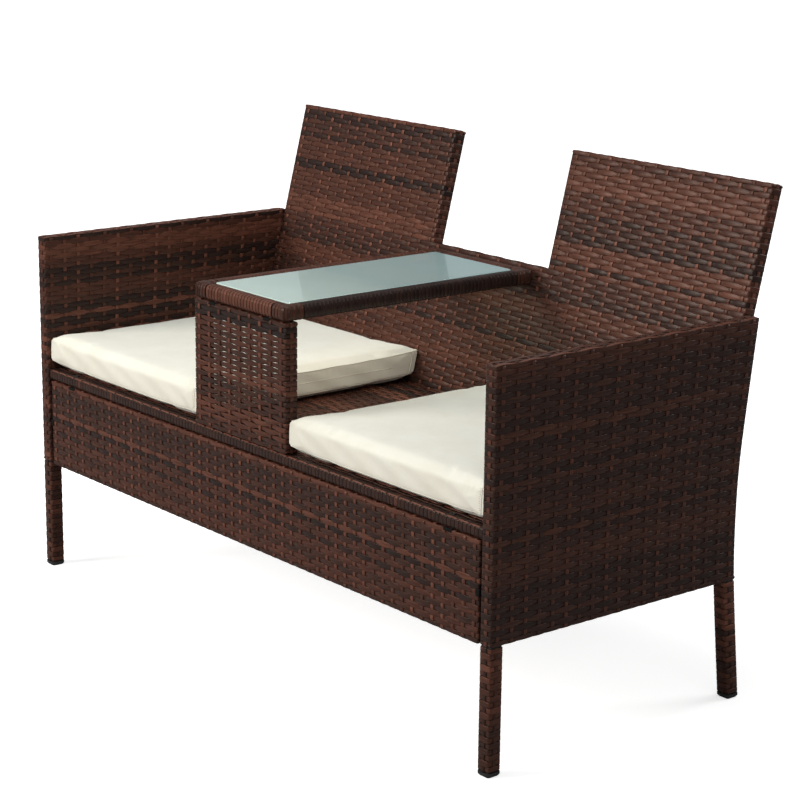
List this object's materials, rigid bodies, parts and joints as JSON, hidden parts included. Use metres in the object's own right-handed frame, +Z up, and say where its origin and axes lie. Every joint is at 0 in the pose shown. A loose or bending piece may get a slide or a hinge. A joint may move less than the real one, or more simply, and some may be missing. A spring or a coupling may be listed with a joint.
{
  "type": "garden bench",
  "caption": "Woven garden bench for two with arms, loose seat cushions, a glass-topped table between the places and a low front skirt, on slim wrapped legs.",
  "frame": {"origin": "on the floor under the middle of the bench's bounding box", "axes": "+X along the bench's width, to the right of a person who looks at its front; +Y from front to back; +Z up"},
  "size_m": [1.33, 0.6461, 0.8715],
  "materials": {
    "steel": "satin",
    "strand": "satin",
    "foot_plastic": "satin",
    "glass": "satin",
    "clear_pad": "gloss",
    "bolt": "satin",
    "cushion_cloth": "matte",
    "foam": "matte",
    "zip": "matte"
  },
  "bodies": {
    "root": {"arm_frame_left": "steel", "arm_frame_right": "steel", "back_frame": "steel", "seat_frame": "steel", "skirt_frame": "steel", "support_frame": "steel", "table_frame": "steel", "arm_weave_left": "strand", "arm_weave_right": "strand", "back_weave": "strand", "seat_weave": "strand", "skirt_weave": "strand", "support_weave": "strand", "table_rim_weave": "strand", "leg_wrap_front_left": "strand", "leg_wrap_rear_left": "strand", "leg_wrap_front_right": "strand", "leg_wrap_rear_right": "strand", "foot_cap_front_left": "foot_plastic", "foot_cap_rear_left": "foot_plastic", "foot_cap_front_right": "foot_plastic", "foot_cap_rear_right": "foot_plastic", "glass_top": "glass", "glass_pad_front_left": "clear_pad", "glass_pad_rear_left": "clear_pad", "glass_pad_front_right": "clear_pad", "glass_pad_rear_right": "clear_pad", "seat_arm_bolt_front_left": "bolt", "seat_arm_bolt_rear_left": "bolt", "seat_arm_bolt_front_right": "bolt", "seat_arm_bolt_rear_right": "bolt", "seat_skirt_bolt_left": "bolt", "seat_skirt_bolt_right": "bolt", "back_seat_bolt_1": "bolt", "back_seat_bolt_2": "bolt", "back_seat_bolt_3": "bolt", "back_seat_bolt_4": "bolt", "back_table_bolt_1": "bolt", "back_table_bolt_2": "bolt", "back_arm_bolt_left": "bolt", "back_arm_bolt_right": "bolt", "support_pin_lower_left": "bolt", "support_pin_upper_left": "bolt", "support_pin_lower_right": "bolt", "support_pin_upper_right": "bolt", "skirt_pin_left": "bolt", "skirt_pin_right": "bolt", "skirt_spacer_left": "foot_plastic", "skirt_spacer_right": "foot_plastic", "cushion_cover_left": "cushion_cloth", "cushion_cover_right": "cushion_cloth", "cushion_foam_left": "foam", "cushion_foam_right": "foam", "cushion_zip_left": "zip", "cushion_zip_right": "zip"}
  },
  "joints": []
}
